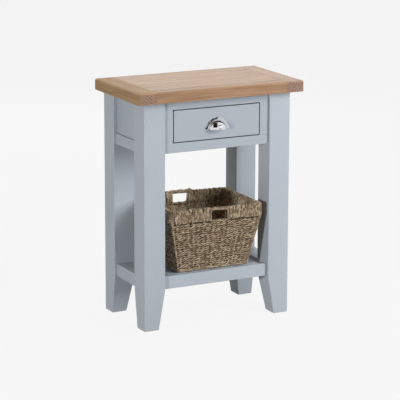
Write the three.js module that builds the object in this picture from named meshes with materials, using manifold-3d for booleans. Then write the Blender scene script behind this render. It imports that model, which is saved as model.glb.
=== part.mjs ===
// A small hall table: an oak top, painted legs and rails, one drawer with a cup pull, a low slatted shelf,
// and a seagrass basket that stands on the shelf.
// Millimetres, +Z up, +X to the right, the front towards -Y. The origin is on the floor, in the middle.

import * as THREE from "three";
import { mergeVertices } from "three/addons/utils/BufferGeometryUtils.js";
import Module from "manifold-3d";

// Fits: glued joints, a sliding drawer, cord and weave that lie against wood, and screws in their holes
const glueLine = 0.2;
const runningGap = 0.3;
const screwClearance = 0.3;
const cutOverrun = 5;

// Oak top
const tableHeight = 790;
const topWidth = 600;
const topDepth = 340;
const topThickness = 37;
const topSideOverhang = 34;
const topFrontOverhang = 34;
const topBackOverhang = 1;
const endBoardWidth = 66;
const edgeBoardWidth = 56;
const topUpperRounding = 8;
const topLowerRounding = 3;
const topCornerEase = 2;

// Legs, square and straight outside, tapered on their two inner faces below the shelf
const legSize = 76;
const footWidth = 53;
const footDepth = 56;
const legTaperDrop = 2;
const legArris = 2;

// Face frame round the drawer
const frameSetback = 8;
const frameThickness = 22;
const topRailHeight = 31;
const bottomRailHeight = 31;
const stileWidth = 32;
const drawerOpeningHeight = 109;
const railArris = 1.2;

// Panels and lower rails at the sides and the back
const panelSetback = 12;
const panelThickness = 10;
const lowerRailSetback = 6;
const lowerRailThickness = 20;
const lowerRailHeight = 35;

// What carries and guides the drawer
const runnerThickness = 20;
const runnerUnderDrawer = 23;
const runnerLegGap = 3;
const guideWidth = 20;
const guideHeight = 20;
const kickerWidth = 44;
const stopLength = 10;
const stopHeight = 16;

// Drawer
const drawerReveal = 3;
const drawerFrontThickness = 20;
const drawerFrontArris = 1.6;
const drawerSideThickness = 12;
const drawerSideHeight = 92;
const drawerBackDrop = 8;
const drawerBottomThickness = 6;
const drawerBottomRaise = 10;
const grooveDepth = 6;
const grooveClearance = 0.3;

// Cup pull
const pullWidth = 90;
const pullHeight = 39;
const pullProjection = 24;
const pullFlangeMargin = 12;
const pullFlangeTopMargin = 8;
const pullFlangeThickness = 2;
const pullWall = 2;
const pullEarReach = 4;
const pullEarHeight = 8;
const pullEarRounding = 3;
const pullPostRadius = 4;
const pullPostLength = 9;
const pullPostInset = 6;
const pullPostRise = 10;

// Screws: four woodscrews up into the top, two machine screws into the pull
const topScrewShankRadius = 2.2;
const topScrewHeadRadius = 4.5;
const topScrewHeadHeight = 3;
const topScrewTip = 6;
const topScrewBite = 20;
const topScrewInset = 50;
const counterboreDepth = 6;
const pullScrewShankRadius = 2;
const pullScrewHeadRadius = 4;
const pullScrewHeadHeight = 2.6;
const pullScrewTip = 0.8;
const pullScrewBite = 7;

// Shelf
const shelfHeight = 174;
const shelfRailHeight = 42;
const shelfRailThickness = 22;
const shelfFrontSetback = 10;
const shelfSideSetback = 7;
const slatThickness = 16;
const slatGap = 25;
const slatCount = 4;
const edgeSlatReveal = 2.5;
const cleatSize = 20;

// Basket
const basketSideGap = 20;
const basketRimDepth = 270;
const basketSideFlare = 37.5;
const basketEndFlare = 32.5;
const basketHeight = 214;
const basketSetback = 19;
const basketFloorThickness = 8;
const basketFloorRounding = 5;
const basketCornerRadius = 18;
const weaveThickness = 6;
const bandHeight = 46;
const bandSkin = 3;
const hoopSlack = 1.5;
const handleHoleWidth = 58;
const handleHoleHeight = 34;
const handleHoleDrop = 8;
const frontHandleX = 4;
const backHandleX = -8;
const handleCordDiameter = 5;
const handleCordCorner = 5;

// How finely round stretches are cut
const arrisSteps = 2;
const topEdgeSteps = 5;
const topCornerSteps = 5;
const basketCornerSteps = 4;
const cordCornerSteps = 3;
const cordSides = 8;
const roundSides = 16;
const cupSides = 28;

// Where the main faces lie
const topUnderside = tableHeight - topThickness;
const legOuter = topWidth / 2 - topSideOverhang;
const legInner = legOuter - legSize;
const legFront = -topDepth / 2 + topFrontOverhang;
const legBack = topDepth / 2 - topBackOverhang;
const legTop = topUnderside - glueLine;
const frameFront = legFront + frameSetback;
const frameBack = frameFront + frameThickness;
const openingTop = topUnderside - topRailHeight;
const openingBottom = openingTop - drawerOpeningHeight;
const openingHalf = legInner - stileWidth;
const carcassBottom = openingBottom - bottomRailHeight;
const backPanelInner = legBack - panelSetback - panelThickness;
const backRailInner = legBack - lowerRailSetback - lowerRailThickness;
const sideRange = [legFront + legSize + glueLine, legBack - legSize - glueLine];
const frameRange = [-legInner + glueLine, legInner - glueLine];
const drawerFrontX = [-openingHalf + drawerReveal, openingHalf - drawerReveal];
const drawerFrontZ = [openingBottom + drawerReveal, openingTop - drawerReveal];

const sides = [["left", -1], ["right", 1]];

const wasm = await Module();
wasm.setup();

// Materials: satin paint, oiled oak, raw wood, chrome, steel and seagrass
function paintedWood() {
  return new THREE.MeshStandardMaterial({ color: 0xb4bcc6, roughness: 0.45, metalness: 0 });
}

function oak() {
  return new THREE.MeshStandardMaterial({ color: 0xc9ad8c, roughness: 0.55, metalness: 0 });
}

function rawWood() {
  return new THREE.MeshStandardMaterial({ color: 0xd8c4a0, roughness: 0.7, metalness: 0 });
}

function chrome() {
  return new THREE.MeshStandardMaterial({ color: 0xdfe2e5, roughness: 0.08, metalness: 1 });
}

function steel() {
  return new THREE.MeshStandardMaterial({ color: 0x9a9da0, roughness: 0.35, metalness: 1 });
}

function seagrass() {
  return new THREE.MeshStandardMaterial({ color: 0x95826a, roughness: 0.85, metalness: 0 });
}

// Ranges are pairs of a low and a high value along one axis
function mirrored(side, low, high) {
  return side > 0 ? [low, high] : [-high, -low];
}

function inset(range, amount) {
  return [range[0] + amount, range[1] - amount];
}

function middle(range) {
  return (range[0] + range[1]) / 2;
}

function length(range) {
  return range[1] - range[0];
}

function around(centre, size) {
  return [centre - size / 2, centre + size / 2];
}

// The outline of a rectangle with rounded corners, anticlockwise
function roundedOutline(x, y, radius, steps) {
  const centres = [
    [x[1] - radius, y[0] + radius],
    [x[1] - radius, y[1] - radius],
    [x[0] + radius, y[1] - radius],
    [x[0] + radius, y[0] + radius],
  ];
  const points = [];
  centres.forEach(([cx, cy], corner) => {
    for (let step = 0; step <= steps; step += 1) {
      const angle = ((corner - 1 + step / steps) * Math.PI) / 2;
      points.push(new THREE.Vector2(cx + radius * Math.cos(angle), cy + radius * Math.sin(angle)));
    }
  });
  return points;
}

// A closed skin over level outlines with equal numbers of points, listed upwards
function loft(levels) {
  const count = levels[0].outline.length;
  const positions = [];
  const faces = [];
  for (const { z, outline } of levels) {
    outline.forEach((point) => positions.push(point.x, point.y, z));
  }
  for (let level = 0; level < levels.length - 1; level += 1) {
    for (let i = 0; i < count; i += 1) {
      const a = level * count + i;
      const b = level * count + ((i + 1) % count);
      faces.push(a, b, b + count, a, b + count, a + count);
    }
  }
  const last = (levels.length - 1) * count;
  for (const [a, b, c] of THREE.ShapeUtils.triangulateShape(levels[0].outline, [])) {
    faces.push(c, b, a);
  }
  for (const [a, b, c] of THREE.ShapeUtils.triangulateShape(levels.at(-1).outline, [])) {
    faces.push(last + a, last + b, last + c);
  }
  const geometry = new THREE.BufferGeometry();
  geometry.setAttribute("position", new THREE.Float32BufferAttribute(positions, 3));
  geometry.setIndex(faces);
  return geometry;
}

// A closed ring of cord or wire along a flat outline in the XY plane
function cordRing(outline, radius) {
  const count = outline.length;
  const positions = [];
  const faces = [];
  outline.forEach((point, i) => {
    const before = outline[(i + count - 1) % count];
    const after = outline[(i + 1) % count];
    const along = after.clone().sub(before).normalize();
    for (let side = 0; side < cordSides; side += 1) {
      const angle = ((side + 1 / 2) * 2 * Math.PI) / cordSides;
      const out = radius * Math.cos(angle);
      positions.push(point.x + along.y * out, point.y - along.x * out, radius * Math.sin(angle));
    }
  });
  for (let i = 0; i < count; i += 1) {
    for (let side = 0; side < cordSides; side += 1) {
      const a = i * cordSides + side;
      const b = i * cordSides + ((side + 1) % cordSides);
      const c = ((i + 1) % count) * cordSides + ((side + 1) % cordSides);
      const d = ((i + 1) % count) * cordSides + side;
      faces.push(a, c, b, a, d, c);
    }
  }
  const geometry = new THREE.BufferGeometry();
  geometry.setAttribute("position", new THREE.Float32BufferAttribute(positions, 3));
  geometry.setIndex(faces);
  return geometry;
}

function boxGeometry(x, y, z) {
  const geometry = new THREE.BoxGeometry(length(x), length(y), length(z));
  return geometry.translate(middle(x), middle(y), middle(z));
}

// Booleans: a closed geometry becomes a solid, and a solid becomes a geometry again
function solidOf(geometry) {
  const bare = geometry.clone();
  bare.deleteAttribute("normal");
  bare.deleteAttribute("uv");
  const merged = mergeVertices(bare);
  const mesh = new wasm.Mesh({
    numProp: 3,
    vertProperties: merged.attributes.position.array,
    triVerts: new Uint32Array(merged.index.array),
  });
  return new wasm.Manifold(mesh);
}

function geometryOf(solid) {
  const mesh = solid.getMesh();
  const geometry = new THREE.BufferGeometry();
  geometry.setAttribute("position", new THREE.BufferAttribute(mesh.vertProperties, 3));
  geometry.setIndex(new THREE.BufferAttribute(mesh.triVerts, 1));
  const faceted = geometry.toNonIndexed();
  faceted.computeVertexNormals();
  return faceted;
}

function addPiece(group, name, material, geometry) {
  const mesh = new THREE.Mesh(geometry, material);
  mesh.name = name;
  group.add(mesh);
  return mesh;
}

// A squared piece of wood whose edges are eased by a small arris
function addBoard(group, name, material, x, y, z, arris) {
  const cornerRadius = arris + arris / 2;
  const outline = roundedOutline(around(0, length(x)), around(0, length(y)), cornerRadius, arrisSteps);
  const geometry = new THREE.ExtrudeGeometry(new THREE.Shape(outline), {
    depth: length(z) - 2 * arris,
    bevelThickness: arris,
    bevelSize: arris,
    bevelOffset: -arris,
    bevelSegments: arrisSteps,
    steps: 1,
  });
  const mesh = addPiece(group, name, material, geometry);
  mesh.position.set(middle(x), middle(y), z[0] + arris);
  return mesh;
}

// A squared piece that is out of sight, left straight from the saw
function addBatten(group, name, material, x, y, z) {
  const mesh = addPiece(group, name, material, new THREE.BoxGeometry(length(x), length(y), length(z)));
  mesh.position.set(middle(x), middle(y), middle(z));
  return mesh;
}

// A screw along +Y: a domed head at the origin, then a straight shank with a pointed or chamfered end
function screwGeometry(headRadius, headHeight, shankRadius, shankLength, tip) {
  const domeShare = 0.7;
  const shoulderShare = 0.35;
  const end = headHeight + shankLength;
  const profile = [
    new THREE.Vector2(0, 0),
    new THREE.Vector2(headRadius * domeShare, 0),
    new THREE.Vector2(headRadius, headHeight * shoulderShare),
    new THREE.Vector2(headRadius, headHeight),
    new THREE.Vector2(shankRadius, headHeight),
    new THREE.Vector2(shankRadius, end - tip),
    new THREE.Vector2(0, end),
  ];
  return new THREE.LatheGeometry(profile, roundSides);
}

// Kickers run over the drawer's sides, and the top screws stand in them
const kickerX = [openingHalf - runnerUnderDrawer, openingHalf - runnerUnderDrawer + kickerWidth];
const kickerY = [frameBack + glueLine, backPanelInner - glueLine];
const kickerZ = [openingTop, topUnderside - glueLine];
const topScrewPlaces = sides.flatMap(([label, side]) => [
  { name: `${label}_front_top_screw`, label, x: side * middle(kickerX), y: kickerY[0] + topScrewInset },
  { name: `${label}_back_top_screw`, label, x: side * middle(kickerX), y: kickerY[1] - topScrewInset },
]);
const topScrewSeat = kickerZ[0] + counterboreDepth;
const topScrewEnd = topUnderside + topScrewBite;

function topScrewHole({ x, y }) {
  const shank = [kickerZ[0], topScrewEnd + screwClearance];
  const shankHole = new THREE.CylinderGeometry(
    topScrewShankRadius + screwClearance,
    topScrewShankRadius + screwClearance,
    length(shank),
    roundSides,
  );
  shankHole.rotateX(Math.PI / 2).translate(x, y, middle(shank));
  const bore = [kickerZ[0] - cutOverrun, topScrewSeat];
  const headHole = new THREE.CylinderGeometry(
    topScrewHeadRadius + screwClearance,
    topScrewHeadRadius + screwClearance,
    length(bore),
    roundSides,
  );
  headHole.rotateX(Math.PI / 2).translate(x, y, middle(bore));
  return solidOf(shankHole).add(solidOf(headHole));
}

// The top is rounded as one slab, then parted into its boards
function topLevel(height, amount) {
  const radius = topUpperRounding + topCornerEase - amount;
  const x = inset(around(0, topWidth), amount);
  const y = inset(around(0, topDepth), amount);
  return { z: topUnderside + height, outline: roundedOutline(x, y, radius, topCornerSteps) };
}

function topSlab() {
  const levels = [];
  for (let step = 0; step <= topEdgeSteps; step += 1) {
    const turn = (step / topEdgeSteps) * (Math.PI / 2);
    levels.push(topLevel(topLowerRounding * (1 - Math.cos(turn)), topLowerRounding * (1 - Math.sin(turn))));
  }
  for (let step = 0; step <= topEdgeSteps; step += 1) {
    const turn = (step / topEdgeSteps) * (Math.PI / 2);
    const height = topThickness - topUpperRounding * (1 - Math.sin(turn));
    levels.push(topLevel(height, topUpperRounding * (1 - Math.cos(turn))));
  }
  return solidOf(loft(levels));
}

function makeTop() {
  const group = new THREE.Group();
  let slab = topSlab();
  for (const place of topScrewPlaces) {
    slab = slab.subtract(topScrewHole(place));
  }
  const zRange = [topUnderside - cutOverrun, tableHeight + cutOverrun];
  const outerX = topWidth / 2 + cutOverrun;
  const outerY = topDepth / 2 + cutOverrun;
  const endJoint = topWidth / 2 - endBoardWidth;
  const edgeJoint = topDepth / 2 - edgeBoardWidth;
  const between = [-endJoint + glueLine, endJoint];
  const boards = [
    ["top_left_end_board", [-outerX, -endJoint], [-outerY, outerY]],
    ["top_right_end_board", [endJoint + glueLine, outerX], [-outerY, outerY]],
    ["top_front_board", between, [-outerY, -edgeJoint]],
    ["top_back_board", between, [edgeJoint, outerY]],
    ["top_centre_panel", between, [-edgeJoint + glueLine, edgeJoint - glueLine]],
  ];
  for (const [name, x, y] of boards) {
    addPiece(group, name, oak(), geometryOf(slab.intersect(solidOf(boxGeometry(x, y, zRange)))));
  }
  return group;
}

// Each leg's outer faces stay upright, and its inner faces draw in towards the foot
const legTaperTop = shelfHeight - shelfRailHeight - legTaperDrop;

function legLevel(height, amount, sideX, sideY) {
  const share = Math.min(1, height / legTaperTop);
  const width = footWidth + (legSize - footWidth) * share;
  const depth = footDepth + (legSize - footDepth) * share;
  const x = mirrored(sideX, legOuter - width, legOuter);
  const y = sideY > 0 ? [legBack - depth, legBack] : [legFront, legFront + depth];
  const radius = legArris + legArris / 2 - amount;
  return { z: height, outline: roundedOutline(inset(x, amount), inset(y, amount), radius, arrisSteps) };
}

function makeLegs() {
  const group = new THREE.Group();
  for (const [label, sideX] of sides) {
    for (const [end, sideY] of [["front", -1], ["back", 1]]) {
      const levels = [
        legLevel(0, legArris, sideX, sideY),
        legLevel(legArris, 0, sideX, sideY),
        legLevel(legTaperTop, 0, sideX, sideY),
        legLevel(legTop, 0, sideX, sideY),
      ];
      addPiece(group, `${end}_${label}_leg`, paintedWood(), loft(levels));
    }
  }
  return group;
}

// The face frame: rails run from leg to leg, and short stiles stand between them
function makeFaceFrame() {
  const group = new THREE.Group();
  const y = [frameFront, frameBack];
  addBoard(group, "front_top_rail", paintedWood(), frameRange, y, [openingTop, legTop], railArris);
  const bottomZ = [carcassBottom, openingBottom];
  addBoard(group, "front_bottom_rail", paintedWood(), frameRange, y, bottomZ, railArris);
  for (const [label, side] of sides) {
    const x = mirrored(side, openingHalf, legInner - glueLine);
    const z = [openingBottom + glueLine, openingTop - glueLine];
    addBoard(group, `front_${label}_stile`, paintedWood(), x, y, z, railArris);
  }
  return group;
}

// The closed sides and back: a lower rail between the legs, with a panel standing on it
function makeEnclosure() {
  const group = new THREE.Group();
  const railZ = [carcassBottom, carcassBottom + lowerRailHeight];
  const panelZ = [railZ[1] + glueLine, legTop];
  for (const [label, side] of sides) {
    const railOuter = legOuter - lowerRailSetback;
    const panelOuter = legOuter - panelSetback;
    const railX = mirrored(side, railOuter - lowerRailThickness, railOuter);
    const panelX = mirrored(side, panelOuter - panelThickness, panelOuter);
    addBoard(group, `${label}_lower_rail`, paintedWood(), railX, sideRange, railZ, railArris);
    addBoard(group, `${label}_side_panel`, paintedWood(), panelX, sideRange, panelZ, railArris);
  }
  const backRailY = [backRailInner, backRailInner + lowerRailThickness];
  const backPanelY = [backPanelInner, backPanelInner + panelThickness];
  addBoard(group, "back_lower_rail", paintedWood(), frameRange, backRailY, railZ, railArris);
  addBoard(group, "back_panel", paintedWood(), frameRange, backPanelY, panelZ, railArris);
  return group;
}

// Runners carry the drawer, guides keep it straight, kickers keep it level, and stops end its way in
function makeDrawerSeat() {
  const group = new THREE.Group();
  const runnerY = [frameBack + glueLine, backRailInner - glueLine];
  const runnerZ = [openingBottom - runnerThickness, openingBottom];
  const guideZ = [openingBottom + glueLine, openingBottom + glueLine + guideHeight];
  const stopY = [runnerY[1] - stopLength, runnerY[1]];
  const stopZ = [openingBottom + glueLine, openingBottom + glueLine + stopHeight];
  for (const [label, side] of sides) {
    const runnerX = mirrored(side, openingHalf - runnerUnderDrawer, legInner - runnerLegGap);
    const guideX = mirrored(side, openingHalf, openingHalf + guideWidth);
    const stopX = mirrored(side, drawerFrontX[1] - drawerSideThickness, drawerFrontX[1]);
    addBatten(group, `${label}_drawer_runner`, rawWood(), runnerX, runnerY, runnerZ);
    addBatten(group, `${label}_drawer_guide`, rawWood(), guideX, runnerY, guideZ);
    addBatten(group, `${label}_drawer_stop`, rawWood(), stopX, stopY, stopZ);

    let kicker = solidOf(boxGeometry(mirrored(side, ...kickerX), kickerY, kickerZ));
    for (const place of topScrewPlaces.filter((screw) => screw.label === label)) {
      kicker = kicker.subtract(topScrewHole(place));
    }
    addPiece(group, `${label}_kicker`, rawWood(), geometryOf(kicker));
  }
  for (const { name, x, y } of topScrewPlaces) {
    const shankLength = topScrewEnd - topScrewSeat;
    const geometry = screwGeometry(
      topScrewHeadRadius,
      topScrewHeadHeight,
      topScrewShankRadius,
      shankLength,
      topScrewTip,
    );
    const screw = addPiece(group, name, steel(), geometry);
    screw.rotation.x = Math.PI / 2;
    screw.position.set(x, y, topScrewSeat - glueLine - topScrewHeadHeight);
  }
  return group;
}

// The pull is drawn on the drawer's face: x across, z up from its lower edge, and y forwards negative
const pullBottom = middle(drawerFrontZ) - pullHeight / 2;
const cupHalfWidth = pullWidth / 2 - pullFlangeMargin;
const cupHeight = pullHeight - pullFlangeTopMargin;
const pullPostX = cupHalfWidth - pullWall - pullPostInset;

// A quarter of an egg shape, from the drawer's face and the pull's lower edge, or past them by an overrun
function cupSolid(shrink, overrun) {
  const geometry = new THREE.SphereGeometry(1, cupSides, cupSides);
  geometry.scale(cupHalfWidth - shrink, pullProjection - shrink, cupHeight - shrink);
  const quarter = boxGeometry([-pullWidth, pullWidth], [-pullWidth, overrun], [-overrun, pullWidth]);
  return solidOf(geometry).intersect(solidOf(quarter));
}

// The flange is an arch with a small ear at each lower end
function flangeSolid() {
  const reach = pullWidth / 2;
  const archReach = reach - pullEarReach;
  const start = Math.asin(pullEarHeight / pullHeight);
  const shape = new THREE.Shape();
  shape.moveTo(-reach, 0);
  shape.lineTo(reach, 0);
  shape.lineTo(reach, pullEarHeight - pullEarRounding);
  shape.quadraticCurveTo(reach, pullEarHeight, archReach * Math.cos(start), pullEarHeight);
  shape.absellipse(0, 0, archReach, pullHeight, start, Math.PI - start, false, 0);
  shape.quadraticCurveTo(-reach, pullEarHeight, -reach, pullEarHeight - pullEarRounding);
  const edge = pullFlangeThickness / 4;
  const geometry = new THREE.ExtrudeGeometry(shape, {
    depth: pullFlangeThickness - edge,
    bevelThickness: edge,
    bevelSize: edge,
    bevelOffset: -edge,
    bevelSegments: 1,
    curveSegments: roundSides,
  });
  geometry.rotateX(Math.PI / 2);
  const front = boxGeometry([-pullWidth, pullWidth], [-pullWidth, 0], [-pullWidth, pullWidth]);
  return solidOf(geometry).intersect(solidOf(front));
}

function pullPost(x, radius, depth) {
  const geometry = new THREE.CylinderGeometry(radius, radius, depth, roundSides);
  return solidOf(geometry.translate(x, -depth / 2, pullPostRise));
}

function makePull() {
  const outer = cupSolid(0, 0);
  let pull = flangeSolid().add(outer).subtract(cupSolid(pullWall, cutOverrun));
  for (const side of [-1, 1]) {
    const post = pullPost(side * pullPostX, pullPostRadius, pullPostLength).intersect(outer);
    const holeRadius = pullScrewShankRadius + screwClearance;
    const hole = pullPost(side * pullPostX, holeRadius, pullScrewBite + screwClearance);
    pull = pull.add(post).subtract(hole);
  }
  return geometryOf(pull);
}

// A drawer side, cut across: x outwards from the drawer's middle, with a groove for the bottom panel
function drawerSideOutline(side, inner, outer) {
  const grooveLow = drawerBottomRaise - grooveClearance;
  const grooveHigh = drawerBottomRaise + drawerBottomThickness + grooveClearance;
  const corners = [
    [inner, 0],
    [outer, 0],
    [outer, drawerSideHeight],
    [inner, drawerSideHeight],
    [inner, grooveHigh],
    [inner + grooveDepth, grooveHigh],
    [inner + grooveDepth, grooveLow],
    [inner, grooveLow],
  ];
  return new THREE.Shape(corners.map(([x, z]) => new THREE.Vector2(side * x, z)));
}

// The drawer's front, with a hole through it behind each post of the pull
function makeDrawerFront() {
  const cornerRadius = drawerFrontArris + drawerFrontArris / 2;
  const shape = new THREE.Shape(roundedOutline(drawerFrontX, drawerFrontZ, cornerRadius, arrisSteps));
  const board = new THREE.ExtrudeGeometry(shape, {
    depth: drawerFrontThickness - 2 * drawerFrontArris,
    bevelThickness: drawerFrontArris,
    bevelSize: drawerFrontArris,
    bevelOffset: -drawerFrontArris,
    bevelSegments: arrisSteps,
  });
  board.rotateX(Math.PI / 2);
  board.translate(0, frameFront + drawerFrontThickness - drawerFrontArris, 0);
  let front = solidOf(board);
  for (const side of [-1, 1]) {
    const radius = pullScrewShankRadius + screwClearance;
    const hole = new THREE.CylinderGeometry(radius, radius, 2 * drawerFrontThickness, roundSides);
    hole.translate(side * pullPostX, frameFront, pullBottom + pullPostRise);
    front = front.subtract(solidOf(hole));
  }
  return geometryOf(front);
}

function makeDrawer() {
  const group = new THREE.Group();
  addPiece(group, "drawer_front", paintedWood(), makeDrawerFront());

  const boxY = [
    frameFront + drawerFrontThickness + glueLine,
    backRailInner - glueLine - stopLength - runningGap,
  ];
  const boxOuter = drawerFrontX[1];
  const boxInner = boxOuter - drawerSideThickness;
  const boxBottom = openingBottom + runningGap;
  for (const [label, side] of sides) {
    const shape = drawerSideOutline(side, boxInner, boxOuter);
    const geometry = new THREE.ExtrudeGeometry(shape, { depth: length(boxY), bevelEnabled: false });
    const mesh = addPiece(group, `drawer_${label}_side`, rawWood(), geometry);
    mesh.rotation.x = Math.PI / 2;
    mesh.position.set(0, boxY[1], boxBottom);
  }
  const panelLow = boxBottom + drawerBottomRaise;
  const panelHigh = panelLow + drawerBottomThickness;
  const panelReach = boxInner + grooveDepth - grooveClearance;
  addBatten(group, "drawer_bottom", rawWood(), [-panelReach, panelReach], boxY, [panelLow, panelHigh]);
  const backX = [-boxInner + glueLine, boxInner - glueLine];
  const backY = [boxY[1] - drawerSideThickness, boxY[1]];
  const backZ = [panelHigh + glueLine, boxBottom + drawerSideHeight - drawerBackDrop];
  addBatten(group, "drawer_back", rawWood(), backX, backY, backZ);

  const pull = addPiece(group, "cup_pull", chrome(), makePull());
  pull.position.set(0, frameFront - glueLine, pullBottom);
  for (const [label, side] of sides) {
    const shankLength = drawerFrontThickness + glueLine + pullScrewBite;
    const geometry = screwGeometry(
      pullScrewHeadRadius,
      pullScrewHeadHeight,
      pullScrewShankRadius,
      shankLength,
      pullScrewTip,
    );
    const screw = addPiece(group, `${label}_pull_screw`, steel(), geometry);
    screw.rotation.x = Math.PI;
    const headY = frameFront + drawerFrontThickness + glueLine + pullScrewHeadHeight;
    screw.position.set(side * pullPostX, headY, pullBottom + pullPostRise);
  }
  return group;
}

// The shelf: a frame of rails between the legs, slats from front to back, and cleats under their ends
function makeShelf() {
  const group = new THREE.Group();
  const railZ = [shelfHeight - shelfRailHeight, shelfHeight];
  const frontY = [legFront + shelfFrontSetback, legFront + shelfFrontSetback + shelfRailThickness];
  const backY = [legBack - shelfFrontSetback - shelfRailThickness, legBack - shelfFrontSetback];
  addBoard(group, "shelf_front_rail", paintedWood(), frameRange, frontY, railZ, railArris);
  addBoard(group, "shelf_back_rail", paintedWood(), frameRange, backY, railZ, railArris);

  const slatZ = [shelfHeight - slatThickness, shelfHeight];
  const slatY = [frontY[1] + glueLine, backY[0] - glueLine];
  const edgeSlatInner = legInner + edgeSlatReveal;
  const slatWidth = (2 * edgeSlatInner - (slatCount + 1) * slatGap) / slatCount;
  const pitch = slatWidth + slatGap;
  for (let i = 0; i < slatCount; i += 1) {
    const x = around((i - (slatCount - 1) / 2) * pitch, slatWidth);
    addBoard(group, `shelf_slat_${i + 1}`, paintedWood(), x, slatY, slatZ, railArris);
  }
  for (const [label, side] of sides) {
    const railOuter = legOuter - shelfSideSetback;
    const railX = mirrored(side, railOuter - shelfRailThickness, railOuter);
    const slatX = mirrored(side, edgeSlatInner, railOuter - shelfRailThickness - glueLine);
    addBoard(group, `shelf_${label}_rail`, paintedWood(), railX, sideRange, railZ, railArris);
    addBoard(group, `shelf_${label}_edge_slat`, paintedWood(), slatX, sideRange, slatZ, railArris);
  }

  const slatsReach = edgeSlatInner - slatGap;
  const cleatX = [-slatsReach, slatsReach];
  const cleatZ = [slatZ[0] - glueLine - cleatSize, slatZ[0] - glueLine];
  addBatten(group, "shelf_front_cleat", paintedWood(), cleatX, [slatY[0], slatY[0] + cleatSize], cleatZ);
  addBatten(group, "shelf_back_cleat", paintedWood(), cleatX, [slatY[1] - cleatSize, slatY[1]], cleatZ);
  return group;
}

// The basket flares from its floor to the rim band, which is upright and folds over the wall's edge
const basketRimWidth = 2 * (legInner - basketSideGap);
const wallInset = bandSkin + runningGap;
const hoopDiameter = weaveThickness - hoopSlack;
const wallTop = basketHeight - bandSkin - hoopDiameter - 2 * runningGap;
const bandBottom = basketHeight - bandHeight;

// One level outline, inside the rim's by an amount, and drawn in by its share of the flare
function basketLevel(z, amount, flareShare = 0) {
  const x = inset(around(0, basketRimWidth), basketSideFlare * flareShare + amount);
  const y = inset(around(0, basketRimDepth), basketEndFlare * flareShare + amount);
  return { z, outline: roundedOutline(x, y, basketCornerRadius - amount / 2, basketCornerSteps) };
}

// The handle holes, front and back, each cut where its own handle is
const handles = [
  { label: "front", side: -1, x: frontHandleX },
  { label: "back", side: 1, x: backHandleX },
];

function handleCuts(low, high) {
  const deep = basketRimDepth / 2 + cutOverrun;
  const [front, back] = handles.map(({ side, x }) => {
    const y = mirrored(side, 0, deep);
    return solidOf(boxGeometry(around(x, handleHoleWidth), y, [low, high]));
  });
  return front.add(back);
}

function makeBasket() {
  const group = new THREE.Group();
  const holeTop = basketHeight - handleHoleDrop;
  const holeBottom = holeTop - handleHoleHeight;

  const wallInner = wallInset + weaveThickness;
  const outside = loft([
    basketLevel(0, basketFloorRounding, 1),
    basketLevel(basketFloorRounding, 0, 1),
    basketLevel(bandBottom, wallInset),
    basketLevel(wallTop, wallInset),
  ]);
  const hollow = loft([
    basketLevel(basketFloorThickness, weaveThickness, 1),
    basketLevel(bandBottom, wallInner),
    basketLevel(wallTop + cutOverrun, wallInner),
  ]);
  const slots = handleCuts(holeBottom, wallTop + cutOverrun);
  const body = solidOf(outside).subtract(solidOf(hollow)).subtract(slots);
  addPiece(group, "basket_body", seagrass(), geometryOf(body));

  const foldTop = basketHeight - bandSkin;
  const bandInner = wallInner + wallInset;
  const band = solidOf(loft([basketLevel(bandBottom, 0), basketLevel(basketHeight, 0)]));
  const bore = loft([
    basketLevel(bandBottom - cutOverrun, bandInner),
    basketLevel(basketHeight + cutOverrun, bandInner),
  ]);
  const foldOuter = loft([basketLevel(bandBottom - cutOverrun, bandSkin), basketLevel(foldTop, bandSkin)]);
  const foldInnerAmount = wallInner + runningGap;
  const foldInner = loft([
    basketLevel(bandBottom - 2 * cutOverrun, foldInnerAmount),
    basketLevel(basketHeight, foldInnerAmount),
  ]);
  const fold = solidOf(foldOuter).subtract(solidOf(foldInner));
  const cutBand = band.subtract(solidOf(bore)).subtract(fold).subtract(handleCuts(holeBottom, holeTop));
  addPiece(group, "basket_rim_band", seagrass(), geometryOf(cutBand));

  const hoopLevel = basketLevel(0, wallInset + weaveThickness / 2);
  const hoop = addPiece(group, "basket_rim_hoop", steel(), cordRing(hoopLevel.outline, hoopDiameter / 2));
  hoop.position.z = foldTop - runningGap - hoopDiameter / 2;

  const cordRadius = handleCordDiameter / 2;
  const frameX = inset(around(0, handleHoleWidth), -cordRadius);
  const frameZ = inset([holeBottom, holeTop], -cordRadius);
  const frameOutline = roundedOutline(frameX, frameZ, handleCordCorner, cordCornerSteps);
  for (const { label, side, x } of handles) {
    const ring = cordRing(frameOutline, cordRadius);
    const cord = addPiece(group, `basket_${label}_handle_cord`, seagrass(), ring);
    cord.rotation.x = Math.PI / 2;
    cord.position.set(x, side * (basketRimDepth / 2 + runningGap + cordRadius), 0);
  }

  const floorFront = legFront + shelfFrontSetback + basketSetback;
  group.position.set(0, floorFront + basketRimDepth / 2 - basketEndFlare, shelfHeight + runningGap);
  return group;
}

const table = new THREE.Group();
table.add(makeTop());
table.add(makeLegs());
table.add(makeFaceFrame());
table.add(makeEnclosure());
table.add(makeDrawerSeat());
table.add(makeDrawer());
table.add(makeShelf());
table.add(makeBasket());

export default table;
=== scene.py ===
import math

import bpy
import numpy as np
from mathutils import Matrix, Vector


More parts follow.
